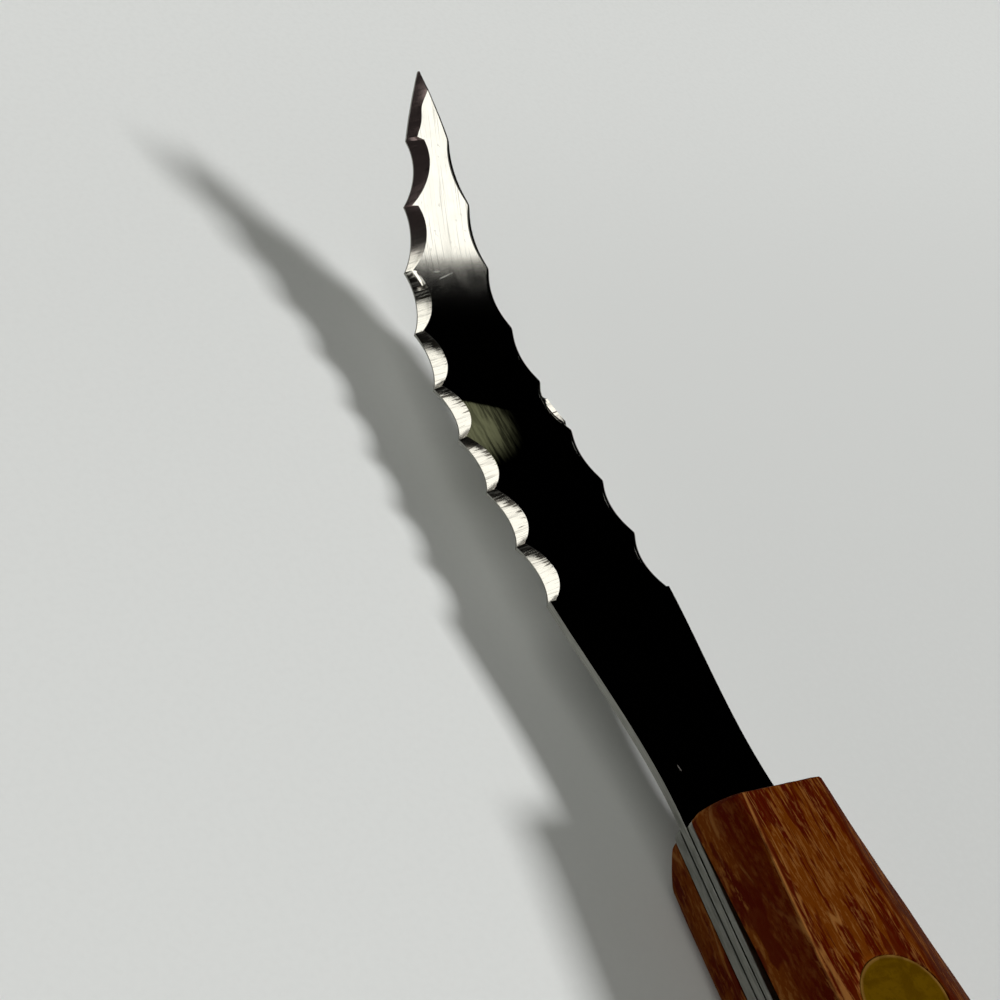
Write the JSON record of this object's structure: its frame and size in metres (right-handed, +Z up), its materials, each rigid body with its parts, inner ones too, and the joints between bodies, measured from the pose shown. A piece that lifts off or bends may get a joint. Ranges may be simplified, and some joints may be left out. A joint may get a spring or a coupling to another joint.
{
  "type": "double-ended grapefruit knife",
  "caption": "Kitchen knife for citrus: bent, scalloped blade at one end, parallel section blades at the other, tangs riveted between wooden handle scales.",
  "frame": {"origin": "middle of the lower handle scale's flat outer face, which lies on the table", "axes": "+X along the handle to the bent blade's tip, +Y across the handle, +Z up, the way the blade bends"},
  "size_m": [0.2432, 0.017, 0.022],
  "materials": {
    "polished_steel": "mirror polished with fine scratches along the blade",
    "satin_steel": "satin, dulled",
    "oiled_hardwood": "oiled, worn, open grain",
    "aged_brass": "dull patina"
  },
  "bodies": {
    "root": {"curved_blade": "polished_steel", "upper_section_blade": "satin_steel", "lower_section_blade": "satin_steel", "upper_handle_scale": "oiled_hardwood", "lower_handle_scale": "oiled_hardwood", "front_rivet_pin": "aged_brass", "front_rivet_tube": "aged_brass", "rear_rivet_pin": "aged_brass", "rear_rivet_tube": "aged_brass"}
  },
  "joints": []
}
